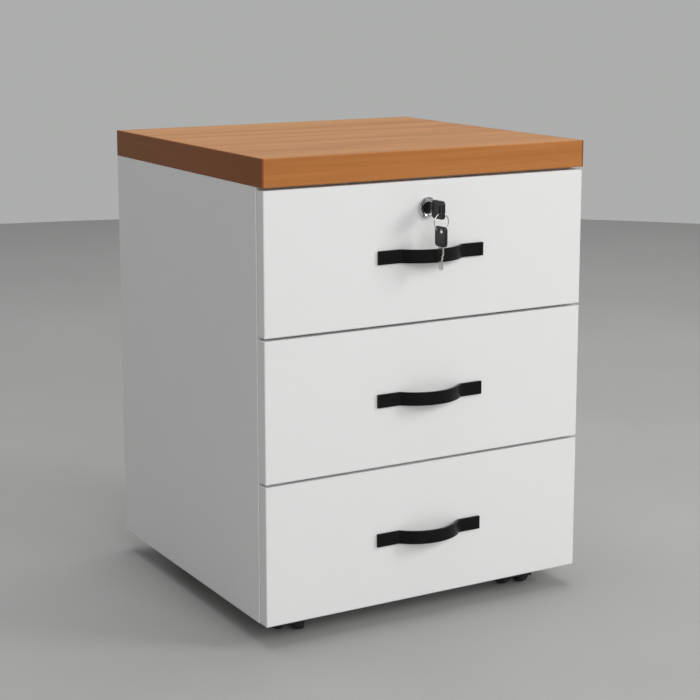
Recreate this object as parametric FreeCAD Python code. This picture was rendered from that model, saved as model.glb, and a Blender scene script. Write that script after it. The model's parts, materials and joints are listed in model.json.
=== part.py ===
import FreeCAD, Part
import math
import os

# Three-drawer rolling pedestal cabinet, in millimetres.
# +X is the right-hand side seen from the front, +Y points to the back, +Z up.
# The origin is on the floor, under the middle of the whole object's box.

# ---------------------------------------------------------------- driving dimensions
WIDTH = 432.0              # over the side panels and the top
DEPTH = 404.0              # from the drawer faces to the back
HEIGHT = 556.0             # floor to the upper face of the top
FLOOR_GAP = 26.0           # floor to the lower edge of the sides and of the lowest front
BOARD = 16.0               # melamine-faced board of the carcass and the drawer fronts
TOP_THICKNESS = 32.0       # top made of two boards' thickness
EDGE_BAND = 2.0            # plastic edge band around the top
ROUNDING = 0.8             # rounding of the boards' edges

# keys; lengths along the key, and distances from the drawer face
BLADE_THICKNESS = 2.0
BLADE_HEIGHT = 7.0
BLADE_LENGTH = 28.0
BOW_LENGTH = 23.0
BOW_WIDTH = 21.0
BOW_THICKNESS = 4.0
BOW_RIM = 2.5              # raised rim round the sunk panel on both faces
BOW_RECESS = 0.4
BOW_END = 36.5             # outer end of the bow of the key in the lock
SLOT_CENTRE = 5.5          # slot for the ring, from the end of the bow
SLOT_WIDTH = 4.5
SLOT_LENGTH = 11.0
RING_RADIUS = 9.6
RING_PLAY = 0.95           # between the ring's wire and the webs that it goes round
WIRE_RADIUS = 0.6
RING_Y = BOW_END - SLOT_CENTRE
KEY_REACH = RING_Y + BOW_WIDTH / 2  # the spare key hangs crosswise, furthest forward

# the cabinet's own planes
Y_FACE = KEY_REACH - (DEPTH + KEY_REACH) / 2     # front face of the drawer fronts
Y_REAR = Y_FACE + DEPTH                          # rear face of the cabinet
BUMPER_GAP = 0.4                                 # between drawer fronts and carcass
Y_CARCASS = Y_FACE + BOARD + BUMPER_GAP          # front edges of the carcass boards
Z_TOP = HEIGHT - TOP_THICKNESS                   # underside of the top
X_INNER = WIDTH / 2 - BOARD                      # inner faces of the side panels
Y_INNER = Y_REAR - BOARD                         # inner face of the back panel

BASE_UNDERSIDE = 56.0      # underside of the bottom panel, where the castors are screwed on
BASE_UPPER = BASE_UNDERSIDE + BOARD
RAIL_WIDTH = 70.0          # the two flat rails under the top
RAIL_UNDERSIDE = Z_TOP - BOARD

# drawer fronts and drawer boxes
DRAWERS = (1, 2, 3)        # 1 is the upper drawer
FRONT_WIDTH = WIDTH - 2.0
FRONT_GAP = 3.0            # between two fronts, and between the upper front and the top
FRONT_HEIGHT = (Z_TOP - FLOOR_GAP - 3 * FRONT_GAP) / 3
FRONT_Z = {n: FLOOR_GAP + (3 - n) * (FRONT_HEIGHT + FRONT_GAP) for n in DRAWERS}
BOX_Z = {1: FRONT_Z[1] + 12.0, 2: FRONT_Z[2] + 12.0, 3: BASE_UPPER + 16.0}
BOX_HEIGHT = 92.0
BOX_LENGTH = 350.0
BOX_BOARD = 12.0
BOX_FLOOR = 4.0            # hardboard drawer bottom
FLOOR_RISE = 8.0           # drawer bottom above the lower edge of the drawer sides
GROOVE = 4.0               # depth of the groove that holds the drawer bottom
FITTING_INSET = 20.5       # fittings of the box, from its lower and upper edges
BOX_CAM_INSET = 24.0       # cam centre behind the drawer front
BOX_CAM_DEPTH = 9.5
BOX_BOLT = 34.0            # from the cam centre to the bolt's tip in the front
BOX_BOLT_RADIUS = 2.5
BOX_SCREW = 40.0           # screws through the sides into the back board
DRAWER_TRAVEL = 340.0

# ball-bearing runners: heights are half-heights from the runner's own middle
RUNNER_SPACE = 13.0        # between side panel and drawer side
RUNNER_LENGTH = 348.0
SHEET = 1.2
OUTER_HALF = 22.5
MIDDLE_HALF = 17.5
INNER_HALF = 12.3
BALLS_IN_ROW = 6
BALL_PITCH = 22.0
OUTER_BALL = (6.0, 19.4, 1.6)    # distance from the side panel, height, radius
INNER_BALL = (8.4, 14.3, 1.7)

# handles
HANDLE_LENGTH = 142.0
HANDLE_HEIGHT = 15.7
HANDLE_STRIP = 3.0
HANDLE_REACH = 21.0        # outer face of the bow, from the drawer face
BOW_HALF = 42.0            # half of the bow's span, to where it leaves the feet
HANDLE_HOLES = 128.0       # distance between the two screws
HANDLE_DROP = 3.0          # handle below the middle of its front
SPIGOT_RADIUS = 3.5
SPIGOT_LENGTH = 4.0
SCREW_RADIUS = 2.0

# lock, in the upper front
LOCK_X = -6.0
LOCK_Z = FRONT_Z[1] + FRONT_HEIGHT - 31.0
ROSE_RADIUS = 12.0
ROSE_THICKNESS = 5.0
BARREL_RADIUS = 9.5
PLUG_RADIUS = 7.0
RUNNING = 0.06             # radial clearance of turning parts
ROSE_RECESS = 1.5          # plug's face behind the rose's rim
PLUG_FACE = Y_FACE - ROSE_THICKNESS + ROSE_RECESS
BARREL_END = Y_FACE + 38.0
PLUG_END = BARREL_END + 2.0
ROD_RADIUS = 3.0
LOCK_LIFT = 10.0                        # travel of the lock bar
CRANK_SIDE = LOCK_LIFT / 2              # the crank swings 45 degrees either side of level
CRANK_RADIUS = CRANK_SIDE * math.sqrt(2)
CRANK_PIN_RADIUS = 2.0
BRACKET_SHEET = 2.0
BOX_END = Y_FACE + BOARD + BOX_LENGTH
CRANK_Y = BOX_END + BRACKET_SHEET + 2.0

# lock bar on the back panel, which hooks the drawer backs
BAR_WIDTH = 20.0
BAR_THICKNESS = 3.0
BAR_X = LOCK_X - (CRANK_SIDE + CRANK_RADIUS) / 2
BAR_FRONT = Y_INNER - 5.0
ARM_WIDTH = 12.0
CATCH_RADIUS = 3.0         # pins that rise in front of the drawers' back boards
CATCH_HEIGHT = 7.0
CATCH_PLAY = 1.0
GUIDE_Z = (130.0, 430.0)
GUIDE_SIZE = (44.0, 8.0, 12.0)
GUIDE_SCREW_X = 18.0
SHOULDER = BOW_END - BOW_LENGTH + PLUG_FACE - Y_FACE - 0.3   # stops at the plug's face


# castors
CASTOR_X = 154.0
CASTOR_Y_FRONT = -119.0
CASTOR_Y_REAR = 160.0
WHEEL_RADIUS = 20.0
WHEEL_WIDTH = 12.5
WHEEL_PLAY = 0.8           # between wheel and web
WEB_HALF = 5.6             # half thickness of the web between the two wheels
WHEEL_OUTSIDE = WEB_HALF + WHEEL_PLAY + WHEEL_WIDTH
HOOD = 3.6                 # the hood's outer face, outside the wheels' radius
HOOD_PLAY = 1.3
TRAIL = 17.0               # swivel axis to axle
PLATE_SIZE = 42.0
PLATE_THICKNESS = 2.5
HOUSING_TOP = BASE_UNDERSIDE - PLATE_THICKNESS - 1.0
PLATE_HOLES = 30.0
KINGPIN_RADIUS = 3.5
AXLE_RADIUS = 3.0
CASTORS = {                # swivel axis x, y and the way that the wheels point at rest, in degrees
    "front_left": (-CASTOR_X, CASTOR_Y_FRONT, -30.0),
    "front_right": (CASTOR_X, CASTOR_Y_FRONT, -10.0),
    "rear_left": (-CASTOR_X, CASTOR_Y_REAR, 24.0),
    "rear_right": (CASTOR_X, CASTOR_Y_REAR, -38.0),
}

# knock-down fittings and screws of the carcass
CAM_RADIUS = 7.5
CAM_DEPTH = 12.5
CAM_INSET = 34.0           # cam centre, from the side panel's inner face
BOLT_RADIUS = 3.0
BOLT_IN_SIDE = 11.0        # how far a cam bolt is screwed into the side panel
RAIL_Y = ((Y_CARCASS, Y_CARCASS + RAIL_WIDTH), (Y_INNER - RAIL_WIDTH, Y_INNER))
RAIL_CAM_Y = [sum(y) / 2 for y in RAIL_Y]
BASE_CAM_Y = (Y_CARCASS + 110.0, Y_INNER - 110.0)
BACK_CAM_Z = (BASE_UNDERSIDE + 70.0, Z_TOP - 70.0)
TOP_SCREW_X = (-140.0, 140.0)
SCREW_HEAD_RADIUS = 3.6
SCREW_HEAD = 2.2
SCREW_TIP = 3.0
SCREW_CROSS = (2.0, 0.4, 1.2)       # half length, half width and depth of its arms
CAM_CROSS = (4.5, 0.8, 1.6)

V = FreeCAD.Vector
X_AXIS, Y_AXIS, Z_AXIS = V(1, 0, 0), V(0, 1, 0), V(0, 0, 1)


# ---------------------------------------------------------------- small helpers
def block(x, y, z):
    """Box between three (low, high) pairs."""
    return Part.makeBox(x[1] - x[0], y[1] - y[0], z[1] - z[0], V(x[0], y[0], z[0]))


def rod(start, axis, length, radius):
    return Part.makeCylinder(radius, length, V(*start), axis)


def board(x, y, z, rounding=ROUNDING):
    """A board with every edge slightly rounded."""
    solid = block(x, y, z)
    return solid.makeFillet(rounding, solid.Edges)


def mirrored(solid):
    """The same piece for the other side of the cabinet."""
    return solid.mirror(V(0, 0, 0), X_AXIS)


def join(first, *others):
    return first.fuse(list(others)).removeSplitter()


def save(name, *solids):
    """Writes one node; several solids in it stay separate pieces."""
    pieces = [s for solid in solids for s in solid.Solids]
    for piece in pieces:
        if not piece.isValid() or piece.Volume <= 0:
            raise ValueError(name + " holds a bad solid")
    Part.makeCompound(pieces).exportStep("parts/" + name + ".step")


# ---------------------------------------------------------------- fittings of the carcass

def cam_sites():
    """(cam bottom point, cam axis, bolt level point) for the right-hand cams."""
    x = X_INNER - CAM_INSET
    sites = []
    for y in RAIL_CAM_Y:
        sites.append(((x, y, RAIL_UNDERSIDE), Z_AXIS, (y, RAIL_UNDERSIDE + BOARD / 2)))
    for y in BASE_CAM_Y:
        sites.append(((x, y, BASE_UNDERSIDE), Z_AXIS, (y, BASE_UNDERSIDE + BOARD / 2)))
    for z in BACK_CAM_Z:
        sites.append(((x, Y_INNER, z), Y_AXIS, (Y_INNER + BOARD / 2, z)))
    return sites


def cross_slot(centre, axis, across, half_length, half_width, depth):
    """One arm of a screwdriver cross, sunk into a face along axis."""
    side = axis.cross(across)
    corners = [centre + across * (i * half_length) + side * (j * half_width)
               for i, j in ((-1, -1), (1, -1), (1, 1), (-1, 1), (-1, -1))]
    return Part.Face(Part.makePolygon(corners)).extrude(axis * depth)


def crossed(solid, centre, axis, half_length, half_width, depth):
    """Sinks a screwdriver cross along axis into the face at centre."""
    for across in (X_AXIS, Y_AXIS, Z_AXIS):
        if abs(across.dot(axis)) < 0.5:
            solid = solid.cut(cross_slot(centre, axis, across, half_length, half_width, depth))
    return solid


def cam_fittings():
    """Cam discs with a screwdriver cross, and the bolts that they pull on."""
    pieces = []
    for start, axis, (y, z) in cam_sites():
        cam = crossed(rod(start, axis, CAM_DEPTH, CAM_RADIUS), V(*start), axis, *CAM_CROSS)
        bolt_length = CAM_INSET - CAM_RADIUS + BOLT_IN_SIDE
        bolt = rod((start[0] + CAM_RADIUS, y, z), X_AXIS, bolt_length, BOLT_RADIUS)
        pieces += [cam, bolt.cut(cam)]
    return pieces + [mirrored(p) for p in pieces]


def cam_holes():
    holes = []
    for start, axis, (y, z) in cam_sites():
        holes.append(rod(start, axis, CAM_DEPTH, CAM_RADIUS))
        length = CAM_INSET + BOLT_IN_SIDE
        holes.append(rod((start[0], y, z), X_AXIS, length, BOLT_RADIUS))
    return holes + [mirrored(h) for h in holes]


def shank(start, axis, length):
    """Screw shank with a pointed end, which is also the hole that it makes."""
    body = Part.makeCylinder(SCREW_RADIUS, length - SCREW_TIP, start, axis)
    tip_start = start + axis * (length - SCREW_TIP)
    return join(body, Part.makeCone(SCREW_RADIUS, 0.4, SCREW_TIP, tip_start, axis))


def wood_screw(start, axis, length):
    """Pan-head screw; the head stands behind start and the shank runs along axis."""
    head = Part.makeCylinder(SCREW_HEAD_RADIUS, SCREW_HEAD, start, axis * -1)
    outer_rim = max((e for e in head.Edges if e.Closed and len(e.Vertexes) == 1),
                    key=lambda e: (e.CenterOfMass - start).Length)
    screw = join(head.makeFillet(1.2, [outer_rim]), shank(start, axis, length))
    return crossed(screw, start - axis * SCREW_HEAD, axis, *SCREW_CROSS)


def sunk_shape(start, axis, length):
    """Countersunk screw before its cross is cut, which is also the hole that it makes."""
    head = Part.makeCone(SCREW_HEAD_RADIUS, SCREW_RADIUS, SCREW_HEAD, start, axis)
    return join(head, shank(start, axis, length))


def screw_sites():
    """(point under the head, direction, length) of every wood screw of the carcass."""
    sites = []
    for x, y, angle in CASTORS.values():
        for sx in (-1, 1):
            for sy in (-1, 1):
                point = V(x + sx * PLATE_HOLES / 2, y + sy * PLATE_HOLES / 2,
                          BASE_UNDERSIDE - PLATE_THICKNESS)
                sites.append((point, Z_AXIS, 14.0))
    for y in RAIL_CAM_Y:
        for x in TOP_SCREW_X:
            sites.append((V(x, y, RAIL_UNDERSIDE), Z_AXIS, 32.0))
    for z in GUIDE_Z:
        for side in (-1, 1):
            point = V(BAR_X + side * GUIDE_SCREW_X, Y_INNER - GUIDE_SIZE[1], z)
            sites.append((point, Y_AXIS, 19.0))
    return sites


def screw_holes():
    return [shank(*site) for site in screw_sites()]


# ---------------------------------------------------------------- carcass
def carcass():
    holes = cam_holes() + screw_holes()
    y_side = (Y_CARCASS, Y_REAR)
    inside = (-X_INNER, X_INNER)

    core = block((-WIDTH / 2 + EDGE_BAND, WIDTH / 2 - EDGE_BAND),
                 (Y_FACE + EDGE_BAND, Y_REAR - EDGE_BAND), (Z_TOP, HEIGHT))
    save("top_panel", core.cut(holes))
    save("top_edge_bands", *top_edge_bands())

    right = board((X_INNER, WIDTH / 2), y_side, (FLOOR_GAP, Z_TOP)).cut(holes)
    save("side_panel_right", right)
    save("side_panel_left", mirrored(right))
    base = board(inside, (Y_CARCASS, Y_INNER), (BASE_UNDERSIDE, BASE_UPPER))
    save("bottom_panel", base.cut(holes))
    back = board(inside, (Y_INNER, Y_REAR), (BASE_UNDERSIDE, Z_TOP))
    save("back_panel", back.cut(holes))
    for name, y in zip(("top_rail_front", "top_rail_rear"), RAIL_Y):
        save(name, board(inside, y, (RAIL_UNDERSIDE, Z_TOP)).cut(holes))
    save("cam_fittings", *cam_fittings())
    save("wood_screws", *[wood_screw(*site) for site in screw_sites()])


def top_edge_bands():
    """Front and rear bands run the whole width; the side bands fit between them."""
    z = (Z_TOP, HEIGHT)
    half = WIDTH / 2
    side_y = (Y_FACE + EDGE_BAND, Y_REAR - EDGE_BAND)
    bands = []
    for x, y, outside in (
        ((-half, half), (Y_FACE, side_y[0]), lambda e: e.CenterOfMass.y < Y_FACE + 0.1),
        ((-half, half), (side_y[1], Y_REAR), lambda e: e.CenterOfMass.y > Y_REAR - 0.1),
        ((-half, EDGE_BAND - half), side_y, lambda e: e.CenterOfMass.x < 0.1 - half),
        ((half - EDGE_BAND, half), side_y, lambda e: e.CenterOfMass.x > half - 0.1),
    ):
        band = block(x, y, z)
        long_edges = [e for e in band.Edges if outside(e) and e.Length > TOP_THICKNESS + 1]
        bands.append(band.makeFillet(1.2, long_edges))
    return bands


# ---------------------------------------------------------------- runners
def runner_profile(web, flange_end, half, lip=0.0):
    """Channel for the right-hand side. web and flange_end are distances from the side panel."""
    near, far = sorted((web, web + (SHEET if flange_end > web else -SHEET)))
    low, high = sorted((web, flange_end))
    length = (Y_CARCASS, Y_CARCASS + RUNNER_LENGTH)
    pieces = [((near, far), (-half, half))]
    for sign in (-1, 1):
        pieces.append(((low, high), sorted((sign * half, sign * (half - SHEET)))))
        if lip:
            edge = sorted((flange_end, flange_end - SHEET))
            pieces.append((edge, sorted((sign * half, sign * (half - SHEET - lip)))))
    solids = [block((X_INNER - u[1], X_INNER - u[0]), length, v) for u, v in pieces]
    return join(*solids)


def ball_rows(distance, height, radius, first_ball):
    """Balls and the thin strips that space them, above and below the runner's middle."""
    solids = []
    x = X_INNER - distance
    ends = (first_ball - BALL_PITCH / 2, first_ball + (BALLS_IN_ROW - 0.5) * BALL_PITCH)
    for sign in (-1, 1):
        z = sign * height
        strip = block((x - 2.4, x + 2.4), ends, (z - 0.3, z + 0.3))
        for i in range(BALLS_IN_ROW):
            y = first_ball + i * BALL_PITCH
            strip = strip.cut(rod((x, y, z - 1), Z_AXIS, 2, radius + 0.1))
            solids.append(Part.makeSphere(radius, V(x, y, z)))
        solids.append(strip)
    return solids


def runners(n):
    """One drawer's pair of three-part runners, with their balls."""
    middle = V(0, 0, BOX_Z[n] + BOX_HEIGHT / 2)
    outer = runner_profile(0.0, 9.5, OUTER_HALF, lip=1.0)
    intermediate = runner_profile(3.0, 10.8, MIDDLE_HALF)
    inner = runner_profile(RUNNER_SPACE, 6.5, INNER_HALF)
    rear_row = Y_CARCASS + 200.0
    front_row = Y_CARCASS + 30.0
    balls = ball_rows(*OUTER_BALL, rear_row) + ball_rows(*INNER_BALL, front_row)
    for part, solids in (("runner_outer", [outer]), ("runner_middle", [intermediate]),
                         ("runner_balls", balls), ("runner_inner", [inner])):
        placed = [s.translated(middle) for s in solids]
        save(f"drawer_{n}_{part}", *placed, *[mirrored(s) for s in placed])


# ---------------------------------------------------------------- drawers
def handle_z(n):
    return FRONT_Z[n] + FRONT_HEIGHT / 2 - HANDLE_DROP


def fitting_points(n, y):
    """Points on the outer face of the right-hand drawer side, under and over the runner."""
    low, high = BOX_Z[n] + FITTING_INSET, BOX_Z[n] + BOX_HEIGHT - FITTING_INSET
    return [V(X_INNER - RUNNER_SPACE, y, z) for z in (low, high)]


def box_fittings(n):
    """Cams, bolts and countersunk screws of one drawer box, and the holes for them."""
    pieces, holes = [], []
    for point in fitting_points(n, Y_FACE + BOARD + BOX_CAM_INSET):
        cam = Part.makeCylinder(CAM_RADIUS, BOX_CAM_DEPTH, point, X_AXIS * -1)
        tip = point - V(BOX_BOARD / 2, BOX_BOLT, 0)
        bolt = Part.makeCylinder(BOX_BOLT_RADIUS, BOX_BOLT, tip, Y_AXIS)
        pieces += [crossed(cam, point, X_AXIS * -1, *CAM_CROSS), bolt.cut(cam)]
        holes += [cam, bolt]
    for point in fitting_points(n, BOX_END - BOX_BOARD / 2):
        screw = sunk_shape(point, X_AXIS * -1, BOX_SCREW)
        pieces.append(crossed(screw, point, X_AXIS * -1, *SCREW_CROSS))
        holes.append(screw)
    return pieces + [mirrored(p) for p in pieces], holes + [mirrored(h) for h in holes]


def drawer_front(n, holes):
    z = (FRONT_Z[n], FRONT_Z[n] + FRONT_HEIGHT)
    front = board((-FRONT_WIDTH / 2, FRONT_WIDTH / 2), (Y_FACE, Y_FACE + BOARD), z, 1.0)
    front = front.cut(holes)
    for x in (-HANDLE_HOLES / 2, HANDLE_HOLES / 2):
        start = (x, Y_FACE, handle_z(n))
        front = front.cut(rod(start, Y_AXIS, SPIGOT_LENGTH + 0.2, SPIGOT_RADIUS + 0.1))
        front = front.cut(rod(start, Y_AXIS, BOARD, SCREW_RADIUS + 0.3))
    if n == 1:
        start = (LOCK_X, Y_FACE, LOCK_Z)
        front = front.cut(rod(start, Y_AXIS, BOARD, BARREL_RADIUS + 0.1))
    return front


def drawer_box(n, holes):
    """Two sides and a back of board, and a thin bottom held in their grooves."""
    outside = X_INNER - RUNNER_SPACE
    inside = outside - BOX_BOARD
    low, high = BOX_Z[n], BOX_Z[n] + BOX_HEIGHT
    start, end = Y_FACE + BOARD, BOX_END
    floor = block((-inside - GROOVE, inside + GROOVE), (start, end - BOX_BOARD + GROOVE),
                  (low + FLOOR_RISE, low + FLOOR_RISE + BOX_FLOOR))
    side = board((inside, outside), (start, end), (low, high), 0.6).cut([floor] + holes)
    back = board((-inside, inside), (end - BOX_BOARD, end), (low, high), 0.6)
    back = back.cut([floor] + holes)
    save(f"drawer_{n}_sides", side, mirrored(side))
    save(f"drawer_{n}_back", back)
    save(f"drawer_{n}_bottom", floor)


def handle(n):
    """Flat strip with two feet and a bow between them, seen from above as one outline."""
    half = HANDLE_LENGTH / 2
    rise = HANDLE_REACH - HANDLE_STRIP
    outer = (BOW_HALF ** 2 + rise ** 2) / (2 * rise)
    inner = outer - HANDLE_STRIP
    centre = outer - HANDLE_REACH
    inner_half = math.sqrt(inner ** 2 - centre ** 2)
    base = handle_z(n) - HANDLE_HEIGHT / 2

    def at(x, reach):
        return V(x, Y_FACE - reach, base)

    corners = [at(-inner_half, 0), at(-half, 0), at(-half, HANDLE_STRIP),
               at(-BOW_HALF, HANDLE_STRIP)]
    far = [at(BOW_HALF, HANDLE_STRIP), at(half, HANDLE_STRIP), at(half, 0),
           at(inner_half, 0)]
    edges = [Part.LineSegment(a, b).toShape() for a, b in zip(corners, corners[1:])]
    edges.append(Part.Arc(corners[-1], at(0, HANDLE_REACH), far[0]).toShape())
    edges += [Part.LineSegment(a, b).toShape() for a, b in zip(far, far[1:])]
    edges.append(Part.Arc(far[-1], at(0, HANDLE_REACH - HANDLE_STRIP), corners[0]).toShape())
    strip = Part.Face(Part.Wire(edges)).extrude(V(0, 0, HANDLE_HEIGHT))

    bends = [e for e in strip.Edges if upright_at(e, BOW_HALF, HANDLE_STRIP)]
    strip = strip.makeFillet(5.0, bends)
    hollows = [e for e in strip.Edges if upright_at(e, inner_half, 0)]
    strip = strip.makeFillet(2.0, hollows)
    rims = [e for e in strip.Edges if flat_edge(e) and reach_of(e) > 1.0]
    strip = strip.makeFillet(0.5, rims)
    for x in (-HANDLE_HOLES / 2, HANDLE_HOLES / 2):
        start = (x, Y_FACE, handle_z(n))
        strip = join(strip, rod(start, Y_AXIS, SPIGOT_LENGTH, SPIGOT_RADIUS))
        tapped = (x, Y_FACE - 2.0, handle_z(n))
        strip = strip.cut(rod(tapped, Y_AXIS, SPIGOT_LENGTH + 2.0, SCREW_RADIUS))
    return strip


def upright_at(edge, x, reach):
    """True for a vertical edge at that distance from the middle and from the drawer face."""
    c = edge.CenterOfMass
    vertical = abs(edge.BoundBox.ZLength - HANDLE_HEIGHT) < 0.01
    return vertical and abs(abs(c.x) - x) < 0.1 and abs(Y_FACE - c.y - reach) < 0.1


def flat_edge(edge):
    return edge.BoundBox.ZLength < 0.01


def reach_of(edge):
    return Y_FACE - edge.CenterOfMass.y


def handle_screws(n):
    """Machine screws from inside the drawer into the handle's spigots."""
    screws = []
    for x in (-HANDLE_HOLES / 2, HANDLE_HOLES / 2):
        head_y = Y_FACE + BOARD
        head = rod((x, head_y, handle_z(n)), Y_AXIS, 2.4, 4.0)
        top = V(x, head_y + 2.4, handle_z(n))
        head = crossed(head, top, Y_AXIS * -1, *SCREW_CROSS)
        length = BOARD + 1.5
        shank = rod((x, head_y - length, handle_z(n)), Y_AXIS, length, SCREW_RADIUS - 0.05)
        screws.append(join(head, shank))
    return screws


def drawer(n):
    fittings, holes = box_fittings(n)
    save(f"drawer_{n}_front", drawer_front(n, holes))
    drawer_box(n, holes)
    save(f"drawer_{n}_handle", handle(n))
    save(f"drawer_{n}_fittings", *handle_screws(n), *fittings)
    runners(n)


# ---------------------------------------------------------------- lock
def turned(profile):
    """Solid of revolution about the lock's axis from (y, radius) points."""
    points = [V(LOCK_X, y, LOCK_Z + r) for y, r in profile]
    face = Part.Face(Part.makePolygon(points + points[:1]))
    return face.revolve(V(LOCK_X, 0, LOCK_Z), Y_AXIS, 360)


def lock_housing():
    """Rose, barrel and the plate that is screwed behind the drawer front."""
    front = Y_FACE - ROSE_THICKNESS
    bore = PLUG_RADIUS + RUNNING
    body = turned([
        (PLUG_FACE, bore), (PLUG_FACE, 8.6), (front, 9.4), (front, 10.2),
        (front + 1.6, ROSE_RADIUS), (Y_FACE, ROSE_RADIUS), (Y_FACE, BARREL_RADIUS),
        (BARREL_END, BARREL_RADIUS), (BARREL_END, bore),
    ])
    back = Y_FACE + BOARD
    plate = block((LOCK_X - 16, LOCK_X + 16), (back, back + 2.5), (LOCK_Z - 15, LOCK_Z + 15))
    uprights = [e for e in plate.Edges if abs(e.BoundBox.YLength - 2.5) < 0.01]
    plate = plate.makeFillet(4.0, uprights)
    plate = plate.cut(rod((LOCK_X, back - 1, LOCK_Z), Y_AXIS, 5, bore))
    return join(body, plate)


def lock_cylinder():
    plug = turned([
        (PLUG_FACE, 0), (PLUG_FACE, PLUG_RADIUS - 0.5), (PLUG_FACE + 0.5, PLUG_RADIUS),
        (BARREL_END + 0.1, PLUG_RADIUS), (BARREL_END + 0.1, PLUG_RADIUS + 1.2),
        (PLUG_END, PLUG_RADIUS + 1.2), (PLUG_END, 0),
    ])
    half_x = BLADE_THICKNESS / 2 + 0.15
    half_z = BLADE_HEIGHT / 2 + 0.2
    keyway = block((LOCK_X - half_x, LOCK_X + half_x), (PLUG_FACE - 1, PLUG_FACE + 22),
                   (LOCK_Z - half_z, LOCK_Z + half_z))
    return plug.cut(keyway)


def crank_pin_point(y):
    return V(LOCK_X - CRANK_SIDE, y, LOCK_Z - CRANK_SIDE)


def lock_rod():
    """Long rod from the cylinder to the back, with a crank and its pin at the end."""
    collar = rod((LOCK_X, PLUG_END, LOCK_Z), Y_AXIS, 12, 5.0)
    shaft = rod((LOCK_X, PLUG_END, LOCK_Z), Y_AXIS, CRANK_Y - PLUG_END + 3, ROD_RADIUS)
    hub = rod((LOCK_X, CRANK_Y, LOCK_Z), Y_AXIS, 3, 5.0)
    end = Part.makeCylinder(4.0, 3, crank_pin_point(CRANK_Y), Y_AXIS)
    arm = block((-CRANK_RADIUS, 0), (0, 3), (-4.0, 4.0))
    arm.rotate(V(0, 0, 0), Y_AXIS, -45)
    arm.translate(V(LOCK_X, CRANK_Y, LOCK_Z))
    pin_length = Y_INNER - 0.5 - CRANK_Y
    pin = Part.makeCylinder(CRANK_PIN_RADIUS, pin_length, crank_pin_point(CRANK_Y), Y_AXIS)
    return join(collar, shaft, hub, end, arm, pin)


def lock_rod_bracket():
    """Sheet bracket on the upper drawer's back that carries the rod's rear end."""
    plate = block((LOCK_X - 9, LOCK_X + 9), (BOX_END, BOX_END + BRACKET_SHEET),
                  (BOX_Z[1] + BOX_HEIGHT - 30, LOCK_Z + 8))
    corners = [e for e in plate.Edges if abs(e.BoundBox.YLength - BRACKET_SHEET) < 0.01]
    plate = plate.makeFillet(3.0, corners)
    return plate.cut(rod((LOCK_X, BOX_END - 1, LOCK_Z), Y_AXIS, 5, ROD_RADIUS + 0.1))


def lock_bar():
    """Flat bar with a slot for the crank pin, and welded on it an arm with a pin for each drawer."""
    low = BOX_Z[3] - 0.5 - LOCK_LIFT - BAR_THICKNESS
    high = LOCK_Z + 6.0
    bar = block((BAR_X - BAR_WIDTH / 2, BAR_X + BAR_WIDTH / 2),
                (BAR_FRONT, BAR_FRONT + BAR_THICKNESS), (low, high))
    room = CRANK_PIN_RADIUS + 0.45
    slot = block((LOCK_X - CRANK_RADIUS - room, LOCK_X - CRANK_SIDE + room),
                 (BAR_FRONT - 1, BAR_FRONT + BAR_THICKNESS + 1),
                 (LOCK_Z - CRANK_SIDE - room, LOCK_Z - CRANK_SIDE + room))
    bar = bar.cut(slot)
    width = (BAR_X - ARM_WIDTH / 2, BAR_X + ARM_WIDTH / 2)
    pin_y = BOX_END - BOX_BOARD - CATCH_PLAY - CATCH_RADIUS
    pieces = [bar]
    for n in DRAWERS:
        top = BOX_Z[n] - 0.5 - LOCK_LIFT
        arm = block(width, (pin_y - ARM_WIDTH / 2, BAR_FRONT), (top - BAR_THICKNESS, top))
        pin = rod((BAR_X, pin_y, top - BAR_THICKNESS), Z_AXIS, BAR_THICKNESS + CATCH_HEIGHT,
                  CATCH_RADIUS)
        upper_rim = [e for e in pin.Edges if e.Closed and e.CenterOfMass.z > top + 1]
        pieces += [arm.cut(pin), pin.makeChamfer(0.8, upper_rim)]
    return pieces


def lock_bar_guides():
    guides = []
    for z in GUIDE_Z:
        width, depth, height = GUIDE_SIZE
        guide = block((BAR_X - width / 2, BAR_X + width / 2), (Y_INNER - depth, Y_INNER),
                      (z - height / 2, z + height / 2))
        room = BAR_WIDTH / 2 + 0.3
        guide = guide.cut(block((BAR_X - room, BAR_X + room), (BAR_FRONT - 0.3, Y_INNER),
                                (z - height, z + height)))
        for side in (-1, 1):
            start = (BAR_X + side * GUIDE_SCREW_X, Y_INNER - depth, z)
            guide = guide.cut(rod(start, Y_AXIS, depth, SCREW_RADIUS))
        guides.append(guide)
    return guides


# ---------------------------------------------------------------- keys
def key_outline(points):
    """Plate in the key's own plane: points are (along the key, across it)."""
    corners = [V(0, along, across) for along, across in points]
    return Part.Face(Part.makePolygon(corners + corners[:1]))


def key_blade():
    """Blade along +Y from the bow's edge at y = 0, with its cuts on the lower edge."""
    half = BLADE_HEIGHT / 2
    shoulder = 4.5
    inside_bow = 9.0
    cuts = (1.6, 0.9, 2.0, 1.2)
    pitch = 4.0
    outline = [(-inside_bow, half), (0, half), (0, shoulder), (SHOULDER, shoulder),
               (SHOULDER, half), (BLADE_LENGTH - 2.5, half), (BLADE_LENGTH, 0.6),
               (BLADE_LENGTH - 2.5, -half)]
    for i, depth in enumerate(cuts):
        middle = BLADE_LENGTH - 4.6 - i * pitch
        outline += [(middle + depth, -half), (middle, depth - half), (middle - depth, -half)]
    outline += [(SHOULDER, -half), (SHOULDER, -shoulder), (0, -shoulder), (0, -half),
                (-inside_bow, -half)]
    plate = key_outline(outline).extrude(V(BLADE_THICKNESS, 0, 0))
    plate.translate(V(-BLADE_THICKNESS / 2, 0, 0))
    groove = block((BLADE_THICKNESS / 2 - 0.5, BLADE_THICKNESS), (SHOULDER + 1, BLADE_LENGTH),
                   (0.4, 1.9))
    return plate.cut(groove)


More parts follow.
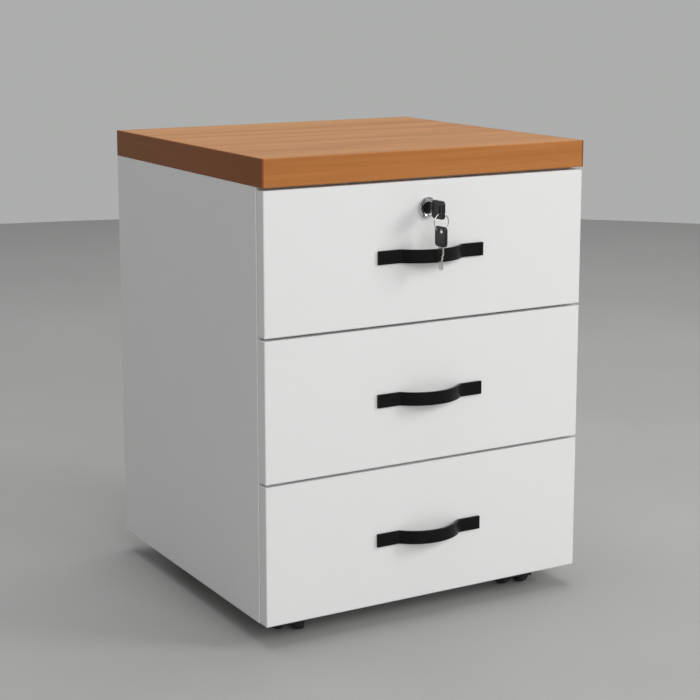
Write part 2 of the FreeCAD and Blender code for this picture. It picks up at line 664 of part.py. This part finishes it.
def key_bow():
    """Plastic bow from y = -BOW_LENGTH to 0, with a slot for the ring near its end."""
    half_x, half_z = BOW_THICKNESS / 2, BOW_WIDTH / 2
    bow = block((-half_x, half_x), (-BOW_LENGTH, 0), (-half_z, half_z))
    corners = [e for e in bow.Edges if abs(e.BoundBox.XLength - BOW_THICKNESS) < 0.01]
    bow = bow.makeFillet(4.0, corners)
    bow = bow.makeFillet(0.8, [e for e in bow.Edges if e.BoundBox.XLength < 0.01])
    slot_y = SLOT_CENTRE - BOW_LENGTH
    slot = block((-5, 5), (slot_y - SLOT_WIDTH / 2, slot_y + SLOT_WIDTH / 2),
                 (-SLOT_LENGTH / 2, SLOT_LENGTH / 2))
    ends = [e for e in slot.Edges if e.BoundBox.XLength > 9]
    bow = bow.cut(slot.makeFillet(1.6, ends)).cut(key_blade())
    for x in (-half_x - 1, half_x - BOW_RECESS):
        panel = block((x, x + 1 + BOW_RECESS), (slot_y + SLOT_WIDTH / 2 + BOW_RIM, -BOW_RIM),
                      (BOW_RIM - half_z, half_z - BOW_RIM))
        uprights = [e for e in panel.Edges if e.BoundBox.XLength > 1]
        bow = bow.cut(panel.makeFillet(2.0, uprights))
    return bow


def keys():
    """The key in the lock, the ring through its slot, and the spare key hanging from it."""
    in_lock = FreeCAD.Placement(V(LOCK_X, Y_FACE - BOW_END + BOW_LENGTH, LOCK_Z),
                                FreeCAD.Rotation())
    ring_y = Y_FACE - RING_Y
    top_wire = LOCK_Z - SLOT_LENGTH / 2 + WIRE_RADIUS + RING_PLAY
    ring_z = top_wire - RING_RADIUS
    ring = Part.makeTorus(RING_RADIUS, WIRE_RADIUS, V(LOCK_X, ring_y, ring_z), Y_AXIS)
    web = SLOT_CENTRE - SLOT_WIDTH / 2
    bow_top = ring_z - RING_RADIUS + WIRE_RADIUS + RING_PLAY + web
    hanging = FreeCAD.Placement(V(LOCK_X, ring_y, bow_top - BOW_LENGTH),
                                FreeCAD.Rotation(X_AXIS, -90))
    for prefix, placement in (("key", in_lock), ("spare_key", hanging)):
        for part, solid in (("blade", key_blade()), ("bow", key_bow())):
            solid.Placement = placement.multiply(solid.Placement)
            save(f"{prefix}_{part}", solid)
    save("key_ring", ring)


def lock():
    save("lock_housing", lock_housing())
    save("lock_cylinder", lock_cylinder())
    save("lock_rod", lock_rod())
    save("lock_rod_bracket", lock_rod_bracket())
    save("lock_bar", *lock_bar())
    save("lock_bar_guides", *lock_bar_guides())
    keys()


# ---------------------------------------------------------------- castors
def castor_plate(x, y):
    """Fixed top plate with the kingpin that the housing turns on."""
    half = PLATE_SIZE / 2
    low = BASE_UNDERSIDE - PLATE_THICKNESS
    plate = block((-half, half), (-half, half), (low, BASE_UNDERSIDE))
    corners = [e for e in plate.Edges if e.BoundBox.ZLength > PLATE_THICKNESS - 0.01]
    plate = plate.makeFillet(5.0, corners)
    for sx in (-1, 1):
        for sy in (-1, 1):
            hole = rod((sx * PLATE_HOLES / 2, sy * PLATE_HOLES / 2, low), Z_AXIS,
                       PLATE_THICKNESS, SCREW_RADIUS + 0.3)
            plate = plate.cut(hole)
    pin = rod((0, 0, WHEEL_RADIUS + 8), Z_AXIS, low - WHEEL_RADIUS - 8, KINGPIN_RADIUS)
    return join(plate, pin).translated(V(x, y, 0))


def castor_housing():
    """Hood over both wheels with the socket for the kingpin; wheels point along -Y."""
    hood = rod((-WHEEL_OUTSIDE, -TRAIL, WHEEL_RADIUS), X_AXIS, 2 * WHEEL_OUTSIDE,
               WHEEL_RADIUS + HOOD)
    hood = hood.cut(block((-50, 50), (-80, 80), (-10, WHEEL_RADIUS - 6)))
    foot = WHEEL_RADIUS - 2
    socket = rod((0, 0, foot), Z_AXIS, HOUSING_TOP - 2 - foot, 10.0)
    cap = rod((0, 0, HOUSING_TOP - 4.5), Z_AXIS, 4.5, 14.0)
    cap = cap.makeFillet(1.5, [cap.Edges[0]])
    body = join(hood, socket, cap)
    for x in (WEB_HALF, -WEB_HALF - 40):
        pocket = rod((x, -TRAIL, WHEEL_RADIUS), X_AXIS, 40,
                     WHEEL_RADIUS + HOOD_PLAY)
        body = body.cut(pocket)
    body = body.cut(rod((0, 0, WHEEL_RADIUS + 7.5), Z_AXIS, 40, KINGPIN_RADIUS + RUNNING))
    return body.cut(rod((-50, -TRAIL, WHEEL_RADIUS), X_AXIS, 100, AXLE_RADIUS + RUNNING))


def castor_wheels():
    """Two wheels pressed on one axle."""
    inner, outer = WEB_HALF + WHEEL_PLAY, WHEEL_OUTSIDE
    dish = outer - 2.0
    profile = [(inner, AXLE_RADIUS), (inner, 17.5), (inner + 1.5, 19.2),
               (inner + 4, WHEEL_RADIUS),
               (outer - 4, WHEEL_RADIUS), (outer - 1.5, 19.2), (outer, 17.0), (outer, 15.5),
               (dish, 14.5), (dish, 8.0), (outer, 7.0), (outer, AXLE_RADIUS)]
    points = [V(x, -TRAIL, WHEEL_RADIUS + r) for x, r in profile]
    face = Part.Face(Part.makePolygon(points + points[:1]))
    wheel = face.revolve(V(0, -TRAIL, WHEEL_RADIUS), X_AXIS, 360)
    axle = rod((0.4 - outer, -TRAIL, WHEEL_RADIUS), X_AXIS, 2 * outer - 0.8, AXLE_RADIUS)
    return [wheel, mirrored(wheel), axle]


def castors():
    save("castor_plates", *[castor_plate(x, y) for x, y, angle in CASTORS.values()])
    for name, (x, y, angle) in CASTORS.items():
        turn = FreeCAD.Placement(V(x, y, 0), FreeCAD.Rotation(Z_AXIS, angle))
        for part, solids in (("housing", [castor_housing()]), ("wheels", castor_wheels())):
            for solid in solids:
                solid.Placement = turn.multiply(solid.Placement)
            save(f"castor_{name}_{part}", *solids)


def main():
    os.makedirs("parts", exist_ok=True)
    carcass()
    for n in DRAWERS:
        drawer(n)
    lock()
    castors()


main()
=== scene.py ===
import json
import math

import bmesh
import bpy
from mathutils import Euler, Matrix, Vector


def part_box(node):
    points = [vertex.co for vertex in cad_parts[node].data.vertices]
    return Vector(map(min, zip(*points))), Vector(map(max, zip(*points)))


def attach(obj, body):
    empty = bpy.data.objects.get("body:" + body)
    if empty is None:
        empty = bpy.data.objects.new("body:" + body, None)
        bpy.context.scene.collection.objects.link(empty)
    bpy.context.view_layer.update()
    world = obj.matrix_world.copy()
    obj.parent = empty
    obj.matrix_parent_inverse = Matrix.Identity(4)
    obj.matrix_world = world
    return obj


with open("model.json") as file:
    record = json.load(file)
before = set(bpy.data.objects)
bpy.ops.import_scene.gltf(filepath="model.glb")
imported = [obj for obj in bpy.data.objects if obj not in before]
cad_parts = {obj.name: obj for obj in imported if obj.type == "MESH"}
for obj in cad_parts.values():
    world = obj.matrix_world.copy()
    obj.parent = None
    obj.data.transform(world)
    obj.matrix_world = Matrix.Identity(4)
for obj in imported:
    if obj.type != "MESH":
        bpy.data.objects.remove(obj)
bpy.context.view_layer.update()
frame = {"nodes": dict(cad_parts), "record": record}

MM = 0.001
NODES = frame["nodes"]
RECORD = frame["record"]
DRAWERS = (1, 2, 3)
CASTORS = ("front_left", "front_right", "rear_left", "rear_right")
JOINTS = {j["name"]: j for j in RECORD["behaviour"]["joints"]}

# planes of the cabinet, read from the frame
SIDE_LOW, SIDE_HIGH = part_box("side_panel_right")
FRONT_LOW, FRONT_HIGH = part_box("drawer_1_front")
TOP_LOW, TOP_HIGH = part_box("top_edge_bands")
FACE_Y = FRONT_LOW.y


# ---------------------------------------------------------------- node helpers
class Shader:
    """A material on one Principled shader, with short calls for the nodes behind it."""

    def __init__(self, name, **sockets):
        self.material = bpy.data.materials.new(name)
        self.material.use_nodes = True
        self.tree = self.material.node_tree
        self.bsdf = self.tree.nodes["Principled BSDF"]
        for socket, value in sockets.items():
            self.bsdf.inputs[socket.replace("_", " ")].default_value = value
        coordinates = self.tree.nodes.new("ShaderNodeTexCoord")
        self.place = coordinates.outputs["Object"]

    def put(self, socket, value):
        if isinstance(value, bpy.types.NodeSocket):
            self.tree.links.new(value, socket)
        elif value is not None:
            socket.default_value = value

    def shade(self, socket, value):
        self.put(self.bsdf.inputs[socket], value)

    def stretched(self, scale):
        """Coordinates scaled along each axis; a larger number makes finer detail."""
        node = self.tree.nodes.new("ShaderNodeMapping")
        self.put(node.inputs["Vector"], self.place)
        node.inputs["Scale"].default_value = scale
        return node.outputs["Vector"]

    def noise(self, scale, detail=2.0, roughness=0.5, distortion=0.0, source=None):
        node = self.tree.nodes.new("ShaderNodeTexNoise")
        self.put(node.inputs["Vector"], source or self.place)
        node.inputs["Scale"].default_value = scale
        node.inputs["Detail"].default_value = detail
        node.inputs["Roughness"].default_value = roughness
        node.inputs["Distortion"].default_value = distortion
        return node.outputs["Fac"]

    def cell_colour(self, scale):
        """A colour that stays the same over each cell of a random pattern."""
        node = self.tree.nodes.new("ShaderNodeTexVoronoi")
        self.put(node.inputs["Vector"], self.place)
        node.inputs["Scale"].default_value = scale
        return node.outputs["Color"]

    def math(self, operation, a, b=None):
        node = self.tree.nodes.new("ShaderNodeMath")
        node.operation = operation
        self.put(node.inputs[0], a)
        self.put(node.inputs[1], b)
        return node.outputs["Value"]

    def vector(self, operation, a, b=None):
        node = self.tree.nodes.new("ShaderNodeVectorMath")
        node.operation = operation
        self.put(node.inputs[0], a)
        self.put(node.inputs[1], b)
        return node.outputs["Value" if operation == "LENGTH" else "Vector"]

    def axis(self, vector, letter):
        node = self.tree.nodes.new("ShaderNodeSeparateXYZ")
        self.put(node.inputs[0], vector)
        return node.outputs[letter.upper()]

    def span(self, value, low, high, out_low=0.0, out_high=1.0):
        """Maps low..high to out_low..out_high, and holds the ends."""
        node = self.tree.nodes.new("ShaderNodeMapRange")
        self.put(node.inputs["Value"], value)
        for socket, number in zip(("From Min", "From Max", "To Min", "To Max"),
                                  (low, high, out_low, out_high)):
            node.inputs[socket].default_value = number
        return node.outputs["Result"]

    def blend(self, factor, a, b):
        """Colour a where factor is 0 and colour b where it is 1."""
        node = self.tree.nodes.new("ShaderNodeMix")
        node.data_type = "RGBA"
        self.put(node.inputs[0], factor)
        self.put(node.inputs[6], rgba(a))
        self.put(node.inputs[7], rgba(b))
        return node.outputs[2]

    def bump(self, height, distance, strength):
        node = self.tree.nodes.new("ShaderNodeBump")
        self.put(node.inputs["Height"], height)
        node.inputs["Distance"].default_value = distance
        node.inputs["Strength"].default_value = strength
        return node.outputs["Normal"]


def rgba(colour):
    """Adds the alpha to a colour of three numbers, and passes a socket on as it is."""
    if isinstance(colour, tuple) and len(colour) == 3:
        return (*colour, 1.0)
    return colour


# ---------------------------------------------------------------- materials
TOP_TONES = (0.330, 0.118, 0.028), (0.470, 0.195, 0.049), (0.560, 0.262, 0.082)
EDGE_TONES = (0.315, 0.100, 0.022), (0.450, 0.166, 0.040), (0.535, 0.228, 0.068)
# painted shade colour for the left and right faces of the top's edge band
PAINTED_SIDE_SHADE_COLOUR = (0.150, 0.034, 0.002)
WHITE = (0.800, 0.800, 0.797)

TOP_BAND = 2.0 * MM             # thickness of the edge band round the top
BOARD_BAND = 1.0 * MM           # and round the white boards
TREAD_RADIUS = 18.0 * MM        # inner edge of the soft ring round a castor's wheel
AXLE_RADIUS = 3.0 * MM
RING_PITCH = 5200.0             # turning marks on a castor's wheel, in radians per metre


def wood(name, tones, streaks, fine, contrast, sheen, painted_side_shade=0.0):
    """Wood-look laminate in a dark, a main and a light tone.

    streaks and fine are the stretches of its broad bands and of its fibres, and the last
    argument is how strongly painted shade darkens what lies beyond the inner edge of the
    bands on the left and right.
    """
    deep, main, pale = tones
    s = Shader(name, Specular_IOR_Level=sheen)
    warp = s.noise(1.0, 2, 0.5, source=s.stretched([c * 0.35 for c in streaks]))
    bands = s.noise(1.0, 4, 0.62, 0.9, source=s.stretched(streaks))
    fibres = s.noise(1.0, 5, 0.7, 0.3, source=s.stretched(fine))
    pores = s.noise(1.0, 1, 0.5, source=s.stretched([c * 2.6 for c in fine]))
    tone = s.math("ADD", s.math("MULTIPLY", bands, 0.55), s.math("MULTIPLY", fibres, 0.30))
    tone = s.math("ADD", tone, s.math("MULTIPLY", warp, 0.25))
    dark = s.span(tone, 0.36, 0.56, contrast, 0.0)
    light = s.span(tone, 0.52, 0.72, 0.0, contrast)
    colour = s.blend(light, s.blend(dark, main, deep), pale)
    pore_mask = s.span(pores, 0.62, 0.74, 0.0, 0.35)
    colour = s.blend(pore_mask, colour, deep)
    # painted shade: darkens the faces beyond the bands' inner edge on the left and right
    if painted_side_shade:
        offset = s.math("ABSOLUTE", s.axis(s.place, "x"))
        inner_edge = TOP_HIGH.x - TOP_BAND
        painted_shade_at_side = s.span(offset, inner_edge - 0.1 * MM, inner_edge + 0.1 * MM, 0.0, painted_side_shade)
        colour = s.blend(painted_shade_at_side, colour, PAINTED_SIDE_SHADE_COLOUR)
    s.shade("Base Color", colour)
    s.shade("Roughness", s.span(fibres, 0.3, 0.7, 0.40, 0.50))
    relief = s.math("SUBTRACT", fibres, pore_mask)
    s.shade("Normal", s.bump(relief, 0.00006, 0.6))
    return s.material


def board(node):
    """White melamine board with the thin seam of its edge band near each border."""
    low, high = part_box(node)
    size, centre = high - low, (low + high) / 2
    thin = min(range(3), key=lambda i: size[i])
    s = Shader(node + "_melamine", Specular_IOR_Level=0.5)
    inward = s.vector("SUBTRACT", s.vector("ABSOLUTE", s.vector("SUBTRACT", s.place, centre)),
                      size / 2)
    across = [s.axis(inward, "xyz"[i]) for i in range(3) if i != thin]
    border = s.math("ABSOLUTE", s.math("ADD", s.math("MAXIMUM", *across), BOARD_BAND))
    seam = s.span(border, 0.10 * MM, 0.22 * MM, 1.0, 0.0)
    cloud = s.noise(7.0, 3, 0.55)
    grime = s.span(cloud, 0.35, 0.75, 0.0, 0.05)
    colour = s.blend(grime, WHITE, (0.66, 0.655, 0.645))
    s.shade("Base Color", s.blend(s.math("MULTIPLY", seam, 0.35), colour, (0.35, 0.35, 0.34)))
    pearl = s.noise(1100.0, 2, 0.6)
    s.shade("Roughness", s.span(s.noise(260.0, 2), 0.3, 0.7, 0.36, 0.46))
    relief = s.math("SUBTRACT", s.math("MULTIPLY", pearl, 0.5), seam)
    s.shade("Normal", s.bump(relief, 0.00005, 0.5))
    return s.material


def hardboard():
    """White-faced thin board with the fine weave of its pressing screen."""
    s = Shader("hardboard_white")
    p = s.stretched((1400.0, 1400.0, 1400.0))
    weave = s.math("MULTIPLY", s.math("SINE", s.axis(p, "x")), s.math("SINE", s.axis(p, "y")))
    cloud = s.noise(14.0, 4, 0.6)
    s.shade("Base Color", s.blend(cloud, (0.74, 0.735, 0.72), (0.79, 0.79, 0.78)))
    s.shade("Roughness", s.span(cloud, 0.3, 0.7, 0.48, 0.60))
    s.shade("Normal", s.bump(weave, 0.00005, 0.4))
    return s.material


def powder_coat():
    """Black powder coat with fine orange peel and a patchy tone."""
    s = Shader("black_powder_coat", Specular_IOR_Level=0.16)
    peel = s.noise(1300.0, 3, 0.55)
    cloud = s.noise(45.0, 3, 0.6)
    s.shade("Base Color", s.blend(cloud, (0.0018, 0.0018, 0.0018), (0.0040, 0.0042, 0.0042)))
    s.shade("Roughness", s.span(cloud, 0.3, 0.7, 0.28, 0.38))
    s.shade("Normal", s.bump(peel, 0.00006, 0.55))
    return s.material


def plated(name, light, dark, rough, lines=None):
    """Plated metal; lines is the stretch of its brushing or drawing marks."""
    s = Shader(name, Metallic=1.0)
    cloud = s.noise(60.0, 4, 0.6)
    marks = s.noise(1.0, 3, 0.6, source=s.stretched(lines)) if lines else s.noise(900.0, 2)
    s.shade("Base Color", s.blend(s.span(cloud, 0.35, 0.65), light, dark))
    smear = s.math("ADD", s.math("MULTIPLY", marks, 0.6), s.math("MULTIPLY", cloud, 0.4))
    s.shade("Roughness", s.span(smear, 0.35, 0.65, rough * 0.75, rough * 1.3))
    s.shade("Normal", s.bump(marks, 0.00002, 0.35))
    return s.material


def galvanised(name):
    """Zinc-plated sheet: drawn lines along the runner and a faint crystal pattern."""
    s = Shader(name, Metallic=1.0)
    lines = s.noise(1.0, 3, 0.65, source=s.stretched((2600.0, 60.0, 2600.0)))
    flakes = s.axis(s.cell_colour(260.0), "x")
    tone = s.math("ADD", s.math("MULTIPLY", lines, 0.55), s.math("MULTIPLY", flakes, 0.25))
    s.shade("Base Color", s.blend(tone, (0.50, 0.51, 0.53), (0.72, 0.73, 0.74)))
    s.shade("Roughness", s.span(tone, 0.2, 0.6, 0.26, 0.42))
    s.shade("Normal", s.bump(lines, 0.00003, 0.4))
    return s.material


def moulded(name, dark, light, rough, grain=1500.0):
    """Moulded plastic with a spark-eroded grain and slight flow marks."""
    s = Shader(name, Specular_IOR_Level=0.5)
    flow = s.noise(90.0, 3, 0.6, 0.8)
    spark = s.noise(grain, 3, 0.65)
    s.shade("Base Color", s.blend(flow, dark, light))
    s.shade("Roughness", s.span(spark, 0.3, 0.7, rough * 0.85, rough * 1.2))
    s.shade("Normal", s.bump(spark, 0.00005, 0.5))
    return s.material


def castor_wheel(name):
    """Nylon wheel with a softer ring round it and the bare steel end of its axle."""
    roll = JOINTS[f"castor_{name}_roll"]
    centre, axle = Vector(roll["pos_m"]), Vector(roll["axis"])
    s = Shader(f"castor_{name}_wheel", Specular_IOR_Level=0.5)
    radius = s.vector("LENGTH", s.vector("CROSS_PRODUCT", s.vector("SUBTRACT", s.place, centre),
                                         axle))
    tread = s.span(radius, TREAD_RADIUS, TREAD_RADIUS + 0.3 * MM)
    steel = s.span(radius, AXLE_RADIUS, AXLE_RADIUS + 0.05 * MM, 1.0, 0.0)
    dust = s.span(s.noise(120.0, 4, 0.7), 0.45, 0.75, 0.0, 0.5)
    body = s.blend(s.noise(80.0), (0.007, 0.007, 0.007), (0.013, 0.013, 0.013))
    rubber = s.blend(dust, (0.014, 0.014, 0.0145), (0.040, 0.039, 0.037))
    s.shade("Base Color", s.blend(steel, s.blend(tread, body, rubber), (0.55, 0.55, 0.56)))
    s.shade("Metallic", steel)
    s.shade("Roughness", s.span(tread, 0.0, 1.0, 0.42, 0.68))
    rings = s.math("SINE", s.math("MULTIPLY", radius, RING_PITCH))
    s.shade("Normal", s.bump(rings, 0.00005, 0.3))
    return s.material


def paint(material, *nodes):
    """Gives CAD nodes a material."""
    for node in nodes:
        for slot in NODES[node].material_slots:
            slot.material = material


def paint_frame():
    paint(wood("laminate_wood", TOP_TONES, (2.2, 34.0, 34.0), (7.0, 520.0, 520.0), 0.95, 0.62),
          "top_panel")
    # edge band wood; its last number sets the painted shade on the band's left and right faces
    paint(wood("edge_band_wood_painted_side_shade", EDGE_TONES, (2.6, 2.6, 90.0), (9.0, 9.0, 520.0), 0.5, 0.22,
               0.68), "top_edge_bands")
    boards = ["side_panel_left", "side_panel_right", "bottom_panel", "back_panel",
              "top_rail_front", "top_rail_rear"]
    boards += [f"drawer_{n}_{part}" for n in DRAWERS for part in ("front", "back")]
    for node in boards:
        paint(board(node), node)
    inside = moulded("drawer_board", (0.77, 0.77, 0.765), WHITE, 0.42, 1100.0)
    bottom, coat, sheet = hardboard(), powder_coat(), galvanised("zinc_sheet")
    bright = plated("screw_zinc", (0.72, 0.71, 0.66), (0.52, 0.52, 0.50), 0.32)
    for n in DRAWERS:
        paint(inside, f"drawer_{n}_sides")
        paint(bottom, f"drawer_{n}_bottom")
        paint(coat, f"drawer_{n}_handle")
        paint(bright, f"drawer_{n}_fittings", f"drawer_{n}_runner_balls")
        paint(sheet, *(f"drawer_{n}_runner_{part}" for part in ("outer", "middle", "inner")))
    paint(bright, "wood_screws", "cam_fittings")
    runner_screws(bright)
    paint(sheet, "castor_plates", "lock_rod", "lock_rod_bracket", "lock_bar")
    chrome = plated("lock_chrome", (0.80, 0.80, 0.81), (0.68, 0.68, 0.70), 0.09)
    paint(chrome, "lock_housing")
    # painted shade and reflection: the lock's plug is made near-black to stand in for the dark
    # inside the rose
    paint(plated("plug_painted_shade", (0.045, 0.045, 0.047), (0.025, 0.025, 0.027), 0.24),
          "lock_cylinder")
    nickel = plated("key_nickel", (0.74, 0.73, 0.71), (0.55, 0.55, 0.54), 0.22,
                    (300.0, 300.0, 2400.0))
    paint(nickel, "key_blade", "spare_key_blade", "key_ring")
    grip = moulded("key_plastic", (0.0015, 0.0015, 0.0015), (0.0035, 0.0035, 0.0035), 0.34)
    paint(grip, "key_bow", "spare_key_bow")
    nylon = moulded("castor_nylon", (0.008, 0.008, 0.008), (0.015, 0.015, 0.015), 0.45)
    for name in CASTORS:
        paint(nylon, f"castor_{name}_housing")
        paint(castor_wheel(name), f"castor_{name}_wheels")
    paint(moulded("guide_plastic", (0.40, 0.40, 0.40), (0.48, 0.48, 0.48), 0.5),
          "lock_bar_guides")


# ---------------------------------------------------------------- small added pieces
SHEET = 1.2 * MM                # thickness of the runners' sheet
RUNNER_SCREWS = (36 * MM, 128 * MM, 300 * MM)   # from the runners' front ends
BUMPER_RADIUS = 4.2 * MM
BUMPER_HEIGHT = 0.34 * MM
BUMPER_INSET = 14 * MM          # from the upper and lower edge of each drawer front
SMOOTH_ANGLE = 35.0             # edges sharper than this, in degrees, stay crisp


def facing(point, direction):
    """Places a shape that is built along +Z at point, along direction."""
    return Matrix.Translation(point) @ direction.to_track_quat("Z", "Y").to_matrix().to_4x4()


def turned(shape, place, rings, segments=32):
    """Adds a turned form; each ring is its height and its radius at an angle."""
    loops = []
    for height, radius in rings:
        angles = [2 * math.pi * i / segments for i in range(segments)]
        loops.append([shape.verts.new(place @ Vector((radius(a) * math.cos(a),
                                                      radius(a) * math.sin(a), height)))
                      for a in angles])
    for lower, upper in zip(loops, loops[1:]):
        for i in range(segments):
            shape.faces.new((lower[i - 1], lower[i], upper[i], upper[i - 1]))
    shape.faces.new(loops[0][::-1])
    shape.faces.new(loops[-1])


def screw_head(shape, place, radius=3.4 * MM, height=1.0 * MM):
    """Flat pan head with a cross recess."""
    def even(share):
        return lambda angle: radius * share

    def cross(angle):
        return radius * (0.52 if abs(math.cos(2 * angle)) > 0.8 else 0.17)

    turned(shape, place, ((0.0, even(1.0)), (0.4 * height, even(1.0)), (0.8 * height, even(0.9)),
                          (height, even(0.68)), (height, cross), (0.35 * height, cross)))


def bumper(shape, place):
    """Soft disc that a closing drawer front meets."""
    def inset(distance):
        return lambda angle: BUMPER_RADIUS - distance

    turned(shape, place, ((0.0, inset(0.0)), (BUMPER_HEIGHT - 0.16 * MM, inset(0.0)),
                          (BUMPER_HEIGHT - 0.04 * MM, inset(0.5 * MM)),
                          (BUMPER_HEIGHT, inset(1.6 * MM))))


def piece(name, shape, material, body):
    """Turns a finished shape into a piece that rides on a CAD body."""
    mesh = bpy.data.meshes.new(name)
    shape.to_mesh(mesh)
    shape.free()
    mesh.polygons.foreach_set("use_smooth", [True] * len(mesh.polygons))
    mesh.set_sharp_from_angle(angle=math.radians(SMOOTH_ANGLE))
    mesh.materials.append(material)
    obj = bpy.data.objects.new(name, mesh)
    bpy.context.collection.objects.link(obj)
    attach(obj, body)


def runner_screws(material):
    """Screws that hold the outer members to the side panels and the inner ones to the drawers."""
    fixed = bmesh.new()
    for n in DRAWERS:
        low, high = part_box(f"drawer_{n}_runner_outer")
        level = (low.z + high.z) / 2
        drawer_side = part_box(f"drawer_{n}_sides")[1].x
        moving = bmesh.new()
        for side in (-1, 1):
            for y in RUNNER_SCREWS:
                outer = Vector((side * (high.x - SHEET), low.y + y, level))
                inner = Vector((side * (drawer_side + SHEET), low.y + y, level))
                screw_head(fixed, facing(outer, Vector((-side, 0, 0))))
                screw_head(moving, facing(inner, Vector((side, 0, 0))))
        piece(f"drawer_{n}_runner_screws", moving, material, f"drawer_{n}")
    piece("carcass_runner_screws", fixed, material, "carcass")


def bumpers():
    """Soft discs on the side panels' front edges, two behind each end of a drawer front."""
    shape = bmesh.new()
    x = (SIDE_LOW.x + SIDE_HIGH.x) / 2
    for n in DRAWERS:
        low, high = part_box(f"drawer_{n}_front")
        for z in (low.z + BUMPER_INSET, high.z - BUMPER_INSET):
            for side in (-1, 1):
                bumper(shape, facing(Vector((side * x, SIDE_LOW.y, z)), Vector((0, -1, 0))))
    material = moulded("bumper_clear", (0.50, 0.50, 0.49), (0.60, 0.60, 0.585), 0.42, 900.0)
    piece("front_bumpers", shape, material, "carcass")


# ---------------------------------------------------------------- camera, floor and light
CAMERA_PLACE = Vector((-1.0501, FACE_Y - 1.6299, TOP_HIGH.z + 0.1924))
CAMERA_YAW = 30.06         # from +Y towards +X, in degrees
CAMERA_PITCH = 10.05       # below the horizon, in degrees
CAMERA_LENS = 88.0
CAMERA_SHIFT = -0.10
FLOOR_RADIUS = 3.3


def camera():
    data = bpy.data.cameras.new("camera")
    data.sensor_width = 36.0
    data.lens = CAMERA_LENS
    data.shift_y = CAMERA_SHIFT
    data.clip_start, data.clip_end = 0.05, 60.0
    obj = bpy.data.objects.new("camera", data)
    turn = (math.radians(90.0 - CAMERA_PITCH), 0.0, math.radians(-CAMERA_YAW))
    obj.location, obj.rotation_euler = CAMERA_PLACE, Euler(turn)
    bpy.context.collection.objects.link(obj)
    bpy.context.scene.camera = obj


def floor():
    mesh = bpy.data.meshes.new("floor")
    shape = bmesh.new()
    bmesh.ops.create_circle(shape, cap_ends=True, segments=96, radius=FLOOR_RADIUS)
    shape.to_mesh(mesh)
    shape.free()
    obj = bpy.data.objects.new("floor", mesh)
    bpy.context.collection.objects.link(obj)
    s = Shader("floor_plain", Specular_IOR_Level=0.35)
    cloud = s.noise(1.7, 5, 0.6)
    s.shade("Base Color", s.blend(cloud, (0.36, 0.36, 0.355), (0.44, 0.44, 0.435)))
    s.shade("Roughness", s.span(cloud, 0.3, 0.7, 0.50, 0.62))
    mesh.materials.append(s.material)


def area_light(name, place, target, size, power, colour=(1.0, 1.0, 1.0)):
    data = bpy.data.lights.new(name, "AREA")
    data.shape = "RECTANGLE"
    data.size, data.size_y = size
    data.energy = power
    data.color = colour
    obj = bpy.data.objects.new(name, data)
    obj.location = place
    aim = Vector(target) - Vector(place)
    obj.rotation_euler = aim.to_track_quat("-Z", "Y").to_euler()
    bpy.context.collection.objects.link(obj)


def studio():
    """Even grey surroundings with a paler band where the walls meet the floor."""
    world = bpy.data.worlds.new("studio")
    world.use_nodes = True
    tree = world.node_tree
    direction = tree.nodes.new("ShaderNodeTexCoord").outputs["Generated"]
    parts = tree.nodes.new("ShaderNodeSeparateXYZ")
    ramp = tree.nodes.new("ShaderNodeValToRGB")
    tree.links.new(direction, parts.inputs[0])
    tree.links.new(parts.outputs["Z"], ramp.inputs["Fac"])
    tree.links.new(ramp.outputs["Color"], tree.nodes["Background"].inputs["Color"])
    stops = ramp.color_ramp.elements
    stops[0].position, stops[0].color = 0.10, (0.415, 0.422, 0.415, 1.0)
    stops[1].position, stops[1].color = 0.38, (0.270, 0.272, 0.272, 1.0)
    tree.nodes["Background"].inputs["Strength"].default_value = 1.0
    return world


def lights():
    bpy.context.scene.world = studio()
    bpy.context.scene.view_settings.view_transform = "Standard"
    middle = Vector((0.0, 0.0, 0.30))
    area_light("window", middle + 4.2 * Vector((0.68, -0.59, 0.44)), middle, (1.3, 1.3),
               60.0, (1.0, 0.997, 0.99))
    area_light("front_fill", (-0.4, -4.6, 2.2), middle, (3.2, 2.2), 90.0)
    area_light("ceiling", (0.2, 0.5, 3.4), middle, (3.0, 3.0), 66.0)


camera()
paint_frame()
bumpers()
floor()
lights()
